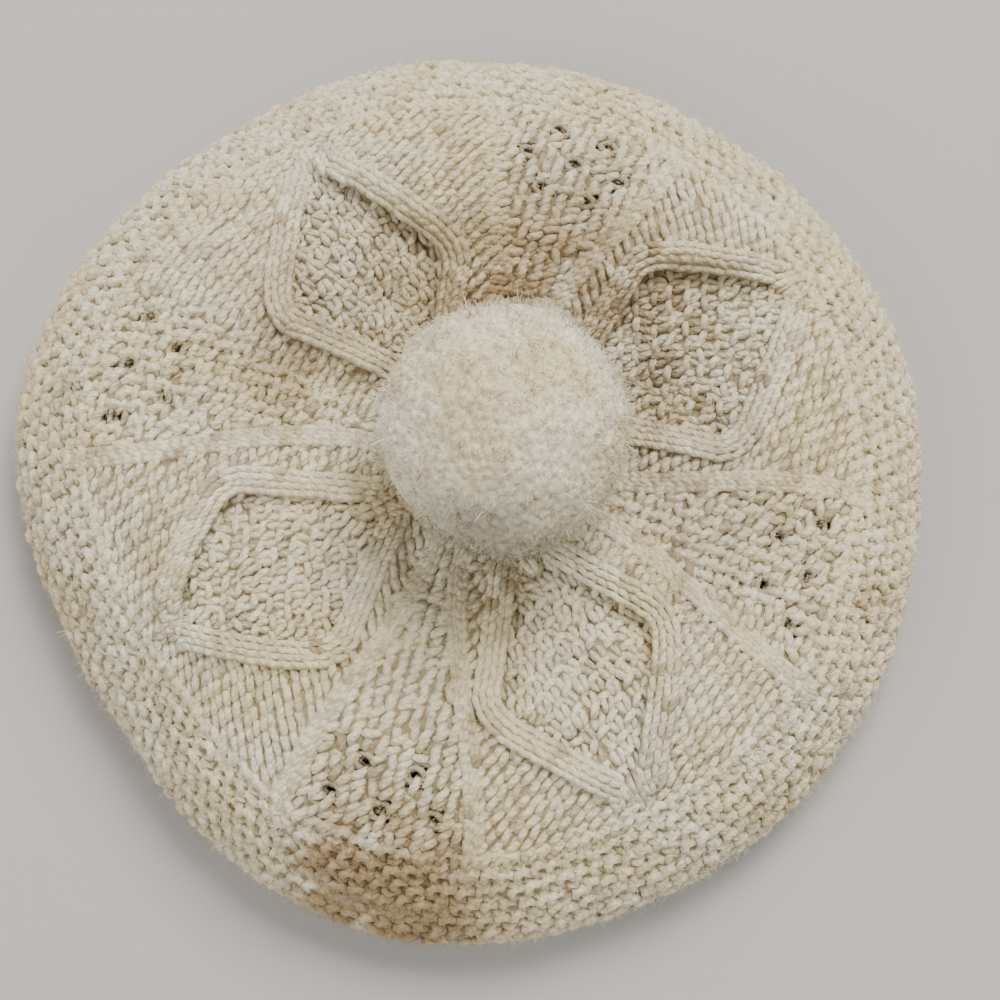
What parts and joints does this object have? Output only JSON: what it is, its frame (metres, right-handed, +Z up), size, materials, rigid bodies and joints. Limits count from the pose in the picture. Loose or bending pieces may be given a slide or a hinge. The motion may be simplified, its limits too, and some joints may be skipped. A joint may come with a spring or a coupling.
{
  "type": "knitted tam o'shanter",
  "caption": "Soft round knitted tam with a wide dished crown, raised cable diamonds, lace gussets, a ribbed head band and a pompom, lying crown up.",
  "frame": {"origin": "on the table, under the middle of the whole outline", "axes": "+Z up out of the crown, +X to the picture's right, +Y to the picture's top"},
  "size_m": [0.2746, 0.2702, 0.1032],
  "materials": {
    "knitted_wool": "hand-knitted cream wool, matt",
    "ribbed_wool": "ribbed cream wool, matt",
    "pompom_wool": "cut yarn pile, fluffy",
    "tie_yarn": "plied cream yarn, matt"
  },
  "bodies": {
    "root": {"crown": "knitted_wool", "rim": "knitted_wool", "underside": "knitted_wool", "band": "ribbed_wool", "pompom": "pompom_wool", "pompom_tie": "tie_yarn"}
  },
  "joints": []
}
